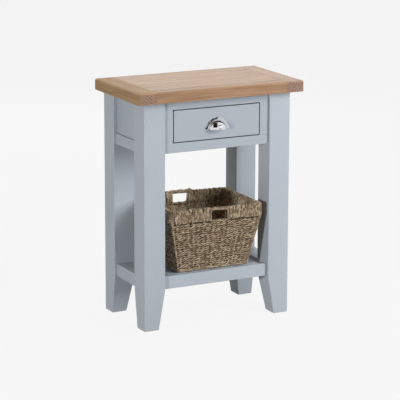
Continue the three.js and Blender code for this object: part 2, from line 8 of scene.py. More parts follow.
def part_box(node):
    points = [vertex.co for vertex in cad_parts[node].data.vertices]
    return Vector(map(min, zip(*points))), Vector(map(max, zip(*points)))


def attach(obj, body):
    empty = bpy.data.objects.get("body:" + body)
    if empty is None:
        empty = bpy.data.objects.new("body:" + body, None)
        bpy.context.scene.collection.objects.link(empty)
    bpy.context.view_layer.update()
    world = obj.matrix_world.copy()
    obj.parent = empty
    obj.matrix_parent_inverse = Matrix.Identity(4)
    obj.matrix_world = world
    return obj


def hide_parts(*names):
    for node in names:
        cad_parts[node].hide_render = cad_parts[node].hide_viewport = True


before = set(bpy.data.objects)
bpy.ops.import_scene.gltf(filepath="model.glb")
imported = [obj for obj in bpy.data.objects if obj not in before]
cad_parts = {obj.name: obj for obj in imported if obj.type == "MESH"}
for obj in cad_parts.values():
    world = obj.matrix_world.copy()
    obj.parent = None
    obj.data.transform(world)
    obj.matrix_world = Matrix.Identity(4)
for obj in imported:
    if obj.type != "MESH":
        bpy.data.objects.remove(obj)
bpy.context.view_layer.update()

# Camera: the photograph's view, through a long lens, from in front of the table, to its left and above its
# top. The place is in metres and the angles in degrees. The yaw turns to the right, and the pitch looks down.
camera_place = Vector((-2.8740, -5.5952, 1.8761))
camera_yaw, camera_pitch, camera_roll = 27.226, -13.343, 0.180
camera = bpy.data.objects.new("camera", bpy.data.cameras.new("camera"))
camera.data.lens = 175.35
camera.data.sensor_width = 36
camera.data.clip_end = 100
turned = Matrix.Rotation(math.radians(-camera_yaw), 4, "Z")
tipped = Matrix.Rotation(math.radians(90 + camera_pitch), 4, "X")
rolled = Matrix.Rotation(math.radians(camera_roll), 4, "Z")
camera.matrix_world = Matrix.Translation(camera_place) @ turned @ tipped @ rolled
bpy.context.scene.collection.objects.link(camera)
bpy.context.scene.camera = camera


# Legs: four squared posts, 76 mm thick, tapered on their two inner faces below the shelf. Hardwood, sprayed
# with a blue-grey satin lacquer that lets the long grain show faintly, with a painted highlight along the
# arrises.
class Tone:
    """A value or colour in a finish. Sums on it are plain arithmetic, and node() adds any other node."""

    def __init__(self, tree, socket=None):
        self.tree, self.socket = tree, socket

    def node(self, kind, settings=(), sockets=(), output=0):
        made = self.tree.nodes.new(kind)
        for name, value in dict(settings).items():
            setattr(made, name, value)
        for name, value in dict(sockets).items():
            if isinstance(value, Tone):
                self.tree.links.new(value.socket, made.inputs[name])
            else:
                made.inputs[name].default_value = value
        return Tone(self.tree, made.outputs[output] if made.outputs else None)

    def sum(self, operation, *values):
        return self.node("ShaderNodeMath", {"operation": operation}, dict(enumerate(values)))

    def __add__(self, other):
        return self.sum("ADD", self, other)

    def __sub__(self, other):
        return self.sum("SUBTRACT", self, other)

    def __rsub__(self, other):
        return self.sum("SUBTRACT", other, self)

    def __mul__(self, other):
        return self.sum("MULTIPLY", self, other)

    def __truediv__(self, other):
        return self.sum("DIVIDE", self, other)

    def __pow__(self, other):
        return self.sum("POWER", self, other)

    def __abs__(self):
        return self.sum("ABSOLUTE", self)

    __radd__, __rmul__ = __add__, __mul__

    def least(self, other):
        return self.sum("MINIMUM", self, other)

    def most(self, other):
        return self.sum("MAXIMUM", self, other)

    def fade(self, low, high, start=0.0, end=1.0):
        """Runs smoothly from start to end as the value runs from low to high."""
        sockets = {"Value": self, "From Min": low, "From Max": high, "To Min": start, "To Max": end}
        return self.node("ShaderNodeMapRange", {"interpolation_type": "SMOOTHSTEP"}, sockets)

    def mix(self, first, second):
        """The first colour where the value is 0, the second where it is 1."""
        return self.node("ShaderNodeMix", {"data_type": "RGBA"}, {0: self, 6: first, 7: second}, 2)

    def part(self, axis):
        return self.node("ShaderNodeSeparateXYZ", sockets={0: self}, output=axis)

    def moved(self, operation, amount):
        return self.node("ShaderNodeVectorMath", {"operation": operation}, {0: self, 1: amount})

    def mottle(self, size, detail=2.0, roughness=0.5):
        """Random patches, of the size in metres along each axis. Their mean is a half."""
        place = self.moved("MULTIPLY", [1 / length for length in size])
        sockets = {"Vector": place, "Scale": 1.0, "Detail": detail, "Roughness": roughness}
        return self.node("ShaderNodeTexNoise", sockets=sockets)


def rgb(red, green, blue):
    return (red, green, blue, 1.0)


def begin_finish(name):
    """Starts a finish, at the place on the piece in metres."""
    material = bpy.data.materials.new(name)
    material.use_nodes = True
    material.node_tree.nodes.clear()
    return material, Tone(material.node_tree).node("ShaderNodeTexCoord", output=3)


def end_finish(place, colour, roughness, relief, depth, **sockets):
    """Ends a finish with its shader. The relief is bumped by the depth, in metres."""
    normal = place.node("ShaderNodeBump", sockets={"Distance": depth, "Height": relief})
    sockets = {name.replace("_", " "): value for name, value in sockets.items()}
    sockets |= {"Base Color": colour, "Roughness": roughness, "Normal": normal}
    shader = place.node("ShaderNodeBsdfPrincipled", sockets=sockets)
    place.node("ShaderNodeOutputMaterial", sockets={"Surface": shader})


def arris_mask(place, width, *nodes):
    """1 on the arrises of one piece, or of the block that pieces make, and 0 beyond the width from them."""
    lows, highs = zip(*(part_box(node) for node in nodes))
    low, high = Vector(map(min, zip(*lows))), Vector(map(max, zip(*highs)))
    from_middle = place.moved("SUBTRACT", (low + high) / 2).moved("ABSOLUTE", (0, 0, 0))
    inside = from_middle.moved("SUBTRACT", (high - low) / 2).moved("MULTIPLY", (-1, -1, -1))
    x, y, z = (inside.part(axis) for axis in range(3))
    return x.least(y).most(x.most(y).least(z)).fade(width, width * 0.3)


def gap_shade_mask(place):
    """1 on the edges inside the drawer's gap, of the front and of the frame, which get painted shade."""
    low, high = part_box("drawer_front")
    from_middle = place.moved("SUBTRACT", (low + high) / 2).moved("ABSOLUTE", (0, 0, 0))
    past_edge = from_middle.moved("SUBTRACT", (high - low) / 2)
    past_outline = past_edge.part(0).most(past_edge.part(2))
    gap = 0.003
    on_edges = past_outline.fade(-0.0016, -0.0008) * past_outline.fade(gap + 0.0004, gap + 0.0010, 1.0, 0.0)
    return on_edges * place.part(1).fade(low.y + 0.0012, low.y + 0.0022)


def painted(node, grain, level=1.0, with_gap_shade=False):
    """Satin lacquer on one piece, with its grain along the axis. The level scales its colour as painted light
    and shade.
    """
    material, place = begin_finish("lacquer_" + node)
    # The level scales every colour of this piece: painted light and shade, under 1 for pieces that stand in
    # more shade.
    blue = lambda *tone: rgb(*(level * part for part in tone))
    along = lambda length, across: [length if axis == grain else across for axis in range(3)]
    fibres = place.mottle(along(0.09, 0.0022), 3.0, 0.6)
    cloud = place.mottle((0.16, 0.16, 0.16), 2.0)
    speckle = place.mottle((0.0011, 0.0011, 0.0011), 1.0)
    # Paler arrises in patches: a painted highlight along them, and a little wear that also smooths them.
    arris_highlight_and_wear = arris_mask(place, 0.0022, node) * place.mottle((0.03, 0.03, 0.03), 3.0).fade(0.4, 0.6, 0.25, 0.8)
    body = cloud.fade(0.3, 0.7).mix(blue(0.448, 0.494, 0.550), blue(0.472, 0.519, 0.575))
    grained = (fibres.fade(0.35, 0.65) * 0.35).mix(body, blue(0.43, 0.475, 0.528))
    colour = arris_highlight_and_wear.mix(grained, blue(0.56, 0.60, 0.645))
    # Painted shade: the edges that face the drawer's gap are darkened to stand in for the shade inside it.
    if with_gap_shade:
        colour = gap_shade_mask(place).mix(colour, blue(0.2025, 0.22275, 0.2475))
    roughness = 0.44 + (cloud - 0.5) * 0.12 + (speckle - 0.5) * 0.1 - arris_highlight_and_wear * 0.08
    relief = fibres * 0.45 + speckle * 0.55
    end_finish(place, colour, roughness, relief, 0.00012)
    return material


sharp_turn = math.radians(50)
smooth_faces = bpy.data.node_groups.new("smooth_faces", "GeometryNodeTree")
for way in ("INPUT", "OUTPUT"):
    smooth_faces.interface.new_socket("Geometry", in_out=way, socket_type="NodeSocketGeometry")
faces_in = smooth_faces.nodes.new("NodeGroupInput")
faces_shaded = smooth_faces.nodes.new("GeometryNodeSetShadeSmooth")
edges_kept = smooth_faces.nodes.new("GeometryNodeSetShadeSmooth")
edges_kept.domain = "EDGE"
edges_kept.inputs["Shade Smooth"].default_value = False
edge_angle = smooth_faces.nodes.new("GeometryNodeInputMeshEdgeAngle")
squared_edge = smooth_faces.nodes.new("ShaderNodeMath")
squared_edge.operation = "GREATER_THAN"
squared_edge.inputs[1].default_value = sharp_turn
faces_out = smooth_faces.nodes.new("NodeGroupOutput")
smooth_faces.links.new(faces_in.outputs[0], faces_shaded.inputs[0])
smooth_faces.links.new(faces_shaded.outputs[0], edges_kept.inputs[0])
smooth_faces.links.new(edge_angle.outputs["Unsigned Angle"], squared_edge.inputs[0])
smooth_faces.links.new(squared_edge.outputs[0], edges_kept.inputs["Selection"])
smooth_faces.links.new(edges_kept.outputs[0], faces_out.inputs[0])


def dress(node, material, arris=0.0006):
    """Gives one piece its finish, takes off its sharp arrises, and rounds them in the light."""
    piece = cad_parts[node]
    piece.material_slots[0].material = material
    joined = piece.modifiers.new("joined_faces", "WELD")
    joined.merge_threshold = 0.00001
    if arris:
        eased = piece.modifiers.new("eased_arrises", "BEVEL")
        eased.width, eased.segments, eased.angle_limit = arris, 2, math.radians(60)
    rounded = piece.modifiers.new("rounded_arrises", "NODES")
    rounded.node_group = smooth_faces
    flat = piece.modifiers.new("flat_faces", "WEIGHTED_NORMAL")
    flat.weight, flat.keep_sharp = 100, True


# Each leg's level is painted light and shade: paler or darker to match the light that reaches it.
for leg, level in (
    ("front_left_leg", 0.99),
    ("front_right_leg", 1.05),
    ("back_left_leg", 1.02),
    ("back_right_leg", 0.93),
):
    dress(leg, painted(leg, 2, level), arris=0.001)

# Carcass: rails, stiles and inset panels glued between the legs, in the same lacquer over the same hardwood.
# The rails' grain runs along them, and the panels sit back from the rails in plain shallow recesses. Each
# piece's level darkens it as painted shade, and the rails and stiles round the drawer get painted shade on
# the edges that face its gap.
for board, grain, level in (
    ("front_top_rail", 0, 0.93),
    ("front_bottom_rail", 0, 0.93),
    ("front_left_stile", 2, 0.92),
    ("front_right_stile", 2, 0.92),
):
    dress(board, painted(board, grain, level, with_gap_shade=True))
for board in ("back_lower_rail", "back_panel"):
    dress(board, painted(board, 0, 0.93))
for board in ("left_lower_rail", "right_lower_rail", "left_side_panel", "right_side_panel"):
    dress(board, painted(board, 1, 0.93))


# Drawer seat: runners, guides, stops and kickers of bare planed softwood, glued inside the carcass where they
# don't show. The kickers also carry the top.
def timber(
    name,
    node,
    grain,
    pith,
    spacing,
    pale,
    dark,
    end,
    end_ring,
    tint,
    seed,
    gloss=0.5,
    block=(),
    wear=0.25,
    wear_width=0.003,
):
    """Bare or oiled wood: rings round a pith that lies off the piece, pores, and darker end grain."""
    material, start = begin_finish(name + node)
    low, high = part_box(node)
    others = [axis for axis in range(3) if axis != grain]
    own = Vector((seed * 0.731, seed * 0.377, seed * 0.519))
    place = start.moved("ADD", own - (low + high) / 2)
    stretch = lambda length, across: [length if axis == grain else across for axis in range(3)]
    slow_sway = (place.mottle(stretch(0.42, 0.09), 2.0) - 0.5) * 0.05
    sway = slow_sway + (place.mottle(stretch(0.2, 0.035), 1.0) - 0.5) * 0.008
    across, up = (place.part(axis) - own[axis] - offset + sway for axis, offset in zip(others, pith))
    rings = (across * across + up * up) ** 0.5 / spacing
    turn = rings.sum("FRACT", rings)
    early = turn.fade(0.0, 0.35, 1.0, 0.0).most(turn.fade(0.86, 1.0))
    streak = place.mottle(stretch(0.24, 0.009), 4.0, 0.6)
    patch = place.mottle(stretch(0.28, 0.1), 2.0)
    pore = place.mottle(stretch(0.011, 0.0007), 1.0).fade(0.56, 0.66) * early.fade(0.1, 0.9, 0.35, 1.0)
    cut_across = abs(place.node("ShaderNodeTexCoord", output=1).part(grain)).fade(0.55, 0.9)
    body = streak.fade(0.36, 0.64).mix(pale, dark)
    body = (patch.fade(0.35, 0.65) * 0.6).mix(body, tint)
    body = (early * 0.34).mix(body, dark)
    ring_depth = start.mottle((0.009, 0.009, 0.009), 2.0).fade(0.36, 0.64, 0.15, 0.9)
    body = (cut_across * 0.92).mix(body, (early * ring_depth).mix(end, end_ring))
    colour = (pore * 0.45).mix(body, rgb(*(0.45 * level for level in dark[:3])))
    # Paler arrises: on the oak a painted highlight where the rounding catches the light, on the softwood light
    # wear.
    arris_highlight_and_wear = arris_mask(start, wear_width, *(block or (node,))) * wear
    colour = arris_highlight_and_wear.mix(colour, rgb(*(min(1.0, 1.2 * level) for level in pale[:3])))
    roughness = 0.42 + (streak - 0.5) * 0.16 + pore * 0.2 + cut_across * 0.12
    relief = streak * 0.25 + early * -0.18 - pore * 0.6
    end_finish(place, colour, roughness, relief, 0.00022, Specular_IOR_Level=gloss)
    return material


softwood = dict(
    spacing=0.0034,
    pale=rgb(0.66, 0.52, 0.35),
    dark=rgb(0.50, 0.36, 0.21),
    end=rgb(0.55, 0.42, 0.27),
    end_ring=rgb(0.42, 0.29, 0.16),
    tint=rgb(0.68, 0.52, 0.33),
)
for seed, side in enumerate(("left", "right")):
    for batten, grain in (("drawer_runner", 1), ("drawer_guide", 1), ("drawer_stop", 2), ("kicker", 1)):
        node = f"{side}_{batten}"
        arris = 0 if batten == "kicker" else 0.0006
        dress(node, timber("softwood_", node, grain, (0.03, -0.06), seed=seed + 3, **softwood), arris)

# Top: a glued oak slab, 37 mm thick. An end board at each end runs front to back and shows its end grain at
# the front corners. Between them lie a front board, a centre panel and a back board. Sanded, with a thin
# satin oil, and a painted highlight along the outer arrises where their rounding catches the light.
oak_wood = dict(
    spacing=0.0105,
    end=rgb(0.335, 0.22, 0.165),
    end_ring=rgb(0.15, 0.08, 0.05),
    wear=0.6,
    wear_width=0.0045,
)
oak_boards = {
    "top_left_end_board": dict(
        grain=1,
        pith=(0.075, 0.055),
        seed=1.3,
        gloss=0.03,
        pale=rgb(0.47, 0.305, 0.175),
        dark=rgb(0.33, 0.205, 0.105),
        tint=rgb(0.44, 0.285, 0.15),
    ),
    "top_front_board": dict(
        grain=0,
        pith=(0.01, -0.09),
        seed=4.1,
        gloss=0.14,
        pale=rgb(0.44, 0.28, 0.175),
        dark=rgb(0.30, 0.18, 0.1),
        tint=rgb(0.43, 0.26, 0.16),
    ),
    "top_centre_panel": dict(
        grain=0,
        pith=(0.03, -0.16),
        seed=7.2,
        gloss=0.32,
        pale=rgb(0.45, 0.28, 0.165),
        dark=rgb(0.32, 0.19, 0.1),
        tint=rgb(0.45, 0.27, 0.165),
    ),
    "top_back_board": dict(
        grain=0,
        pith=(-0.02, -0.07),
        seed=5.7,
        gloss=0.38,
        pale=rgb(0.44, 0.275, 0.16),
        dark=rgb(0.31, 0.185, 0.095),
        tint=rgb(0.44, 0.26, 0.155),
    ),
    "top_right_end_board": dict(
        grain=1,
        pith=(-0.08, 0.06),
        seed=2.9,
        gloss=0.34,
        pale=rgb(0.44, 0.275, 0.17),
        dark=rgb(0.31, 0.185, 0.105),
        tint=rgb(0.44, 0.265, 0.175),
        end=rgb(0.31, 0.20, 0.155),
    ),
}
for board, character in oak_boards.items():
    dress(board, timber("oak_", board, block=tuple(oak_boards), **(oak_wood | character)), 0.0004)


# Screws: four zinc-plated woodscrews driven up through the kickers into the top, and two machine screws that
# hold the pull from inside the drawer.
def plated_steel():
    material, place = begin_finish("plated_steel")
    turned_lines = place.mottle((0.0006, 0.0006, 0.0002), 2.0)
    tarnish = place.mottle((0.004, 0.004, 0.004), 3.0)
    colour = tarnish.fade(0.35, 0.7).mix(rgb(0.50, 0.51, 0.52), rgb(0.36, 0.36, 0.37))
    roughness = 0.3 + (turned_lines - 0.5) * 0.2 + tarnish * 0.12
    end_finish(place, colour, roughness, turned_lines, 0.00004, Metallic=1.0)
    return material


steel = plated_steel()
for side in ("left", "right"):
    for screw in ("front_top_screw", "back_top_screw", "pull_screw"):
        dress(f"{side}_{screw}", steel, 0.0002)

# Drawer: a lacquered front, inset in the face frame with a gap all round, on a box of bare softwood whose
# sides are grooved for the bottom. It slides out on its runners.
# The drawer front's level darkens it as painted shade, and its edges in the gap get painted shade too.
dress("drawer_front", painted("drawer_front", 0, 0.92, with_gap_shade=True), arris=0)
for node, grain in (
    ("drawer_left_side", 1),
    ("drawer_right_side", 1),
    ("drawer_bottom", 0),
    ("drawer_back", 0),
):
    dress(node, timber("softwood_", node, grain, (0.02, -0.07), seed=6.4 + grain, **softwood))

# Cup pull: a half-round cup, open below, on an arched flange 90 mm wide with a small ear at each lower end.
# Cast, polished and chromed, 2 mm thick, and screwed from inside the drawer through two posts.
pull_low, pull_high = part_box("cup_pull")
pull_back, pull_foot = pull_high.y, pull_low.z
flange_reach, flange_height = pull_high.x, pull_high.z - pull_low.z
flange_steps = ((0.0, 0.0), (0.0011, 0.0), (0.0017, 0.00035), (0.002, 0.0010))
ear_reach, ear_height = 0.004, 0.008
cup_half = Vector((flange_reach - 0.012, pull_high.y - pull_low.y, flange_height - 0.008))
cup_wall, lip_bead = 0.002, 0.0016
off_drawer = 0.0004
post_x, post_radius, post_length, post_rise, post_ease = 0.025, 0.004, 0.009, 0.010, 0.0006


def skin(rows, closed_ring=False):
    """Faces between neighbouring rows of points, the rows all of one length."""
    width = len(rows[0])
    faces = []
    for i in range(len(rows) - 1):
        for j in range(width if closed_ring else width - 1):
            k = (j + 1) % width
            faces.append((i * width + j, i * width + k, (i + 1) * width + k, (i + 1) * width + j))
    return [point for row in rows for point in row], faces


def cup_shell():
    """The cup from side to side: each slice runs down its outside, round the lip and back up its inside."""
    across, down = 72, 28
    rows = []
    for i in range(across + 1):
        lean = math.pi * (i / across - 0.5) * 0.995
        row = []
        for wall, way in ((0.0, 1), (cup_wall, -1)):
            half = cup_half - Vector((wall, wall, wall))
            for j in range(down + 1)[::way]:
                turn = math.pi / 2 * (1 - j / down)
                width = math.cos(lean)
                y = pull_back - half.y * width * math.cos(turn)
                z = pull_foot + half.z * width * math.sin(turn)
                row.append((half.x * math.sin(lean), min(y, pull_back - off_drawer), z))
        rows.append(row)
    return skin(rows)


def flange_outline():
    arch = flange_reach - ear_reach
    start = math.asin(ear_height / flange_height)
    steps = 48
    line = [(flange_reach, 0), (flange_reach, ear_height * 0.62)]
    line += [(flange_reach - 0.0012, ear_height * 0.9), (arch + 0.0008, ear_height)]
    for i in range(steps + 1):
        angle = start + (math.pi - 2 * start) * i / steps
        line.append((arch * math.cos(angle), flange_height * math.sin(angle)))
    return line + [(-x, z) for x, z in line[3::-1]]


def closed_skin(rows):
    """Faces between rings of points, and a face over each end."""
    points, faces = skin(rows, closed_ring=True)
    around, count = len(rows[0]), len(points)
    return points, faces + [tuple(range(around))[::-1], tuple(range(count - around, count))]


def flange_plate():
    """The flange's outline, set in by steps from back to front so that its edge is rounded."""
    outline = flange_outline()
    rows = []
    for forward, inset in flange_steps:
        shrink_x, shrink_z = 1 - inset / flange_reach, 1 - inset / flange_height
        y = pull_back - forward
        rows.append([(x * shrink_x, y, pull_foot + max(z * shrink_z, inset)) for x, z in outline])
    return closed_skin(rows)


def post(side):
    sides, rows = 24, []
    steps = ((0.0005, 0.0), (post_length - post_ease, 0.0), (post_length, post_ease))
    for depth, inset in steps:
        row = []
        for k in range(sides):
            angle = 2 * math.pi * k / sides
            x = side * post_x + (post_radius - inset) * math.cos(angle)
            z = pull_foot + post_rise + (post_radius - inset) * math.sin(angle)
            row.append((x, pull_back - depth, z))
        rows.append(row)
    return closed_skin(rows)


def lip():
    """A bead along the cup's open edge."""
    slices, sides, rows = 72, 12, []
    reach_x, reach_y = cup_half.x - cup_wall / 2, cup_half.y - cup_wall / 2
    for i in range(slices + 1):
        lean = math.pi * (i / slices - 0.5) * 0.97
        centre = Vector((reach_x * math.sin(lean), -reach_y * math.cos(lean), lip_bead))
        out = Vector((math.sin(lean) * cup_half.y, -math.cos(lean) * cup_half.x, 0)).normalized()
        row = []
        for k in range(sides):
            angle = 2 * math.pi * k / sides
            point = centre + out * (lip_bead * 0.8 * math.cos(angle))
            point += Vector((0, 0, lip_bead * math.sin(angle)))
            row.append((point.x, min(pull_back + point.y, pull_back - off_drawer), pull_foot + point.z))
        rows.append(row)
    return closed_skin(rows)


def chrome():
    material, place = begin_finish("chrome_plate")
    polish = place.mottle((0.006, 0.006, 0.006), 2.0)
    handled = place.mottle((0.0009, 0.0004, 0.0004), 2.0)
    colour = polish.fade(0.3, 0.7).mix(rgb(0.74, 0.75, 0.77), rgb(0.81, 0.82, 0.84))
    roughness = 0.03 + polish * 0.03 + (handled - 0.5).most(0.0) * 0.08
    end_finish(place, colour, roughness, handled, 0.000001, Metallic=1.0)
    return material


points, faces = [], []
for made_points, made_faces in (cup_shell(), flange_plate(), lip(), post(-1), post(1)):
    faces += [tuple(len(points) + corner for corner in face) for face in made_faces]
    points += made_points
pull_mesh = bpy.data.meshes.new("drawer_cup_pull")
pull_mesh.from_pydata(points, [], faces)
pull_mesh.shade_smooth()
pull_mesh.set_sharp_from_angle(angle=sharp_turn)
pull_mesh.materials.append(chrome())
pull = bpy.data.objects.new("drawer_cup_pull", pull_mesh)
bpy.context.scene.collection.objects.link(pull)
pull_faces = pull.modifiers.new("flat_flange", "WEIGHTED_NORMAL")
pull_faces.weight, pull_faces.keep_sharp = 100, True
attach(pull, "drawer")
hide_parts("cup_pull")

# Shelf: two rails and four slats that run front to back, an edge slat and a rail at each side, and two cleats
# under the slats' ends. All in the lacquer of the legs, made paler or darker piece by piece by the levels as
# painted light and shade.
for rail in ("shelf_front_rail", "shelf_back_rail", "shelf_front_cleat", "shelf_back_cleat"):
    dress(rail, painted(rail, 0, 1.03))
for rail in ("shelf_left_rail", "shelf_right_rail"):
    dress(rail, painted(rail, 1, 0.93))
slats = [f"shelf_slat_{number}" for number in range(1, 5)]
for slat in slats + ["shelf_left_edge_slat", "shelf_right_edge_slat"]:
    dress(slat, painted(slat, 1, 0.88))

# Basket: seagrass, 340 by 270 mm at its rim, tapering to its base. Rows of two strands are twined round flat
# upright stakes to make the wall. The base is plain weave, and a twisted cord edges it and runs up each corner.
body_low, body_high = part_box("basket_body")
band_low, band_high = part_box("basket_rim_band")
basket_foot = Vector(((band_low.x + band_high.x) / 2, (band_low.y + band_high.y) / 2, body_low.z))
rim_half = (band_high.x - basket_foot.x, band_high.y - basket_foot.y)
band_foot, rim_top = band_low.z - basket_foot.z, band_high.z - basket_foot.z
wall_half = (body_high.x - basket_foot.x, body_high.y - basket_foot.y)
base_half = (wall_half[0] - 0.0342, wall_half[1] - 0.0292)
corner_radius = 0.018
foot_round, foot_tuck = 0.005, 0.003
hole_half, hole_low, hole_high = 0.029, rim_top - 0.042, rim_top - 0.008
strand_radius, row_pitch, stitch_count, row_points = 0.00165, (band_foot - 0.0025) / 22, 60, 440
stake_count, stake_radius, stake_points = 224, 0.0031, 9
chance = np.random.default_rng(41)
handle_middles = []
for end in ("front", "back"):
    cord_low, cord_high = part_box(f"basket_{end}_handle_cord")
    handle_middles.append((cord_low.x + cord_high.x) / 2 - basket_foot.x)


def by_handle(spots, spare):
    """Where points on the wall are in line with a handle hole, or within the spare width of it."""
    middle = np.where(spots[..., 1] < 0, *handle_middles)
    return abs(spots[..., 0] - middle) < hole_half + spare


def wall_place(share, height, proud=0.0):
    """Points on the wall's outside, at shares of the way round from its front's middle, and the ways out."""
    share, height = np.broadcast_arrays(np.asarray(share, float) % 1.0, np.asarray(height, float))
    rise = np.clip((height - foot_round) / (band_foot - foot_round), 0, 1)
    tuck = np.clip(1 - height / foot_round, 0, 1) ** 2 * foot_tuck
    half_x = base_half[0] + (wall_half[0] - base_half[0]) * rise - tuck
    half_y = base_half[1] + (wall_half[1] - base_half[1]) * rise - tuck
    run, end, bend = half_x - corner_radius, half_y - corner_radius, corner_radius * math.pi / 2
    quarter = np.floor(share * 4).astype(int)
    length = (share * 4 - quarter) * (run + end + bend)
    length = np.where(quarter % 2, run + end + bend - length, length)
    angle = np.clip((length - run) / corner_radius, 0, math.pi / 2)
    out_x, out_y = np.sin(angle), -np.cos(angle)
    x = np.minimum(length, run) + corner_radius * out_x
    y = -end + corner_radius * out_y + np.maximum(length - run - bend, 0)
    flip_x = np.where(quarter >= 2, -1, 1)
    flip_y = np.where((quarter == 1) | (quarter == 2), -1, 1)
    out = np.stack([out_x * flip_x, out_y * flip_y, np.zeros_like(x)], -1)
    spot = np.stack([x * flip_x, y * flip_y, height], -1)
    return spot + out * np.asarray(proud)[..., None], out


def ways_across(path, out, closed):
    """The two ways square to a path at each of its points. The first is the nearest to the way out."""
    ahead = np.roll(path, -1, 0) - np.roll(path, 1, 0)
    if not closed:
        ahead[0], ahead[-1] = path[1] - path[0], path[-1] - path[-2]
    ahead /= np.linalg.norm(ahead, axis=1)[:, None]
    side = out - (out * ahead).sum(1)[:, None] * ahead
    side /= np.linalg.norm(side, axis=1)[:, None]
    return side, np.cross(ahead, side)


def way_along(path):
    """The length of a path up to each of its points, and last the whole of it back to its start."""
    return np.append(0, np.cumsum(np.linalg.norm(np.diff(path, axis=0, append=path[:1]), axis=1)))


class Strands:
    """Strands swept along paths into one mesh. Its map holds the way along each strand and the way round it."""

    def __init__(self):
        self.points, self.faces, self.shaded, self.map, self.count = [], [], [], [], 0

    def lay(self, path, out, radius, closed=False, flat=1.0, sides=6, shaded=False):
        """Lays one strand along a path. A shaded strand gets painted shade, the second finish, where it faces
        the way out.
        """
        count = len(path)
        radius = np.broadcast_to(radius, count)
        side, up = ways_across(path, out, closed)
        angle = np.arange(sides) * 2 * math.pi / sides
        cosine, sine = np.cos(angle)[None, :, None], np.sin(angle)[None, :, None]
        ring = cosine * side[:, None] * flat + sine * up[:, None]
        self.points.append((path[:, None] + ring * radius[:, None, None]).reshape(-1, 3))
        i, j = np.meshgrid(np.arange(count if closed else count - 1), np.arange(sides), indexing="ij")
        i, j = i.ravel(), j.ravel()
        after, beside = (i + 1) % count, (j + 1) % sides
        corners = [i * sides + j, after * sides + j, after * sides + beside, i * sides + beside]
        self.faces += (np.stack(corners, 1) + self.count).tolist()
        faces_out = np.cos((j + 0.5) * 2 * math.pi / sides) > -0.1
        self.shaded += (shaded & faces_out).astype(int).tolist()
        gone = way_along(path) + chance.random() * 40
        along = np.stack([gone[i], gone[i + 1], gone[i + 1], gone[i]], 1)
        around = np.stack([j, j, j + 1, j + 1], 1) / sides
        self.map.append(np.stack([along, around], -1).reshape(-1, 2))
        if not closed:
            for first, order in ((0, range(sides)[::-1]), (count - 1, range(sides))):
                self.faces.append([self.count + first * sides + k for k in order])
                self.shaded.append(0)
                self.map.append(np.full((sides, 2), gone[first]))
        self.count += count * sides

    def twist(self, path, out, radius, pitch, closed=False):
        """Lays two strands round each other along a path."""
        strand_share = 0.56
        side, up = ways_across(path, out, closed)
        gone = way_along(path)
        turns = round(gone[-1] / pitch) if closed else gone[-1] / pitch
        phase = gone[:-1] / gone[-1] * turns * 2 * math.pi
        for start in (0, math.pi):
            offset = np.cos(phase + start)[:, None] * side + np.sin(phase + start)[:, None] * up
            self.lay(path + offset * radius * (1 - strand_share), out, radius * strand_share, closed)

    def piece(self, name, materials, node, slot="seagrass"):
        """Makes the mesh, lets its rim rise and fall a little, and puts it in the place of the plain solid."""
        points = np.concatenate(self.points)
        x, y, z = points.T
        back = np.clip(y / rim_half[1], 0, 1) ** 2
        broad_hump = 0.0055 * np.exp(-(((x + 0.020) / 0.110) ** 2))
        small_hump = 0.004 * np.exp(-(((x - 0.0275) / 0.010) ** 2))
        sway = 0.0012 - 0.0025 * x / rim_half[0] + 0.0008 * np.sin(5 * np.arctan2(y, x) - 1.1)
        sway += back * (broad_hump + small_hump)
        points[:, 2] += sway * np.clip(z / rim_top, 0, 1) ** 2
        points += np.array(basket_foot)
        mesh = bpy.data.meshes.new(name)
        mesh.from_pydata(points.tolist(), [], self.faces)
        strand_map = mesh.uv_layers.new(name="strand")
        strand_map.data.foreach_set("uv", np.concatenate(self.map).ravel())
        mesh.shade_smooth()
        for material in materials:
            mesh.materials.append(material)
        mesh.polygons.foreach_set("material_index", self.shaded)
        made = bpy.data.objects.new(name, mesh)
        bpy.context.scene.collection.objects.link(made)
        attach(made, "basket")
        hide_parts(node)


def seagrass(name, pale, middle, dark):
    """Dried seagrass: each strand is twisted from flat blades, from greenish straw to brown."""
    material, place = begin_finish(name)
    way = place.node("ShaderNodeUVMap", {"uv_map": "strand"})
    along, around = way.part(0), way.part(1)

    def strand_noise(first, second):
        spot = place.node("ShaderNodeCombineXYZ", sockets={0: first, 1: second, 2: 0.0})
        return place.node("ShaderNodeTexNoise", sockets={"Vector": spot, "Scale": 1.0, "Detail": 2.0})

    blade = strand_noise(around * 7.0 + along * 210.0, along * 55.0)
    change = strand_noise(along * 80.0, 0.3)
    patch = place.mottle((0.03, 0.03, 0.02), 2.0)
    straw = (change * 0.87 + patch * 0.13).fade(0.40, 0.60).mix(middle, pale)
    colour = (blade.fade(0.42, 0.66) * 0.75).mix(straw, dark)
    roughness = 0.62 + (blade - 0.5) * 0.3
    end_finish(place, colour, roughness, blade, 0.0006)
    return material


wall_grass = seagrass("seagrass", rgb(0.73, 0.60, 0.44), rgb(0.30, 0.21, 0.12), rgb(0.09, 0.055, 0.028))
# Painted shade: a near-black seagrass for the stakes' outward faces and the strand under the hoop, standing in
# for the shade between the rows and inside the band.
painted_shade_grass = seagrass(
    "seagrass_painted_shade", rgb(0.075, 0.048, 0.024), rgb(0.05, 0.03, 0.015), rgb(0.02, 0.012, 0.006)
)


def ripple(share, counts, size):
    """An uneven rise and fall round the basket: so many waves of each count, of random size and place."""
    waves = [(count, chance.random(), chance.normal(0, size)) for count in counts]
    return sum(height * np.sin(2 * math.pi * (count * share + start)) for count, start, height in waves)


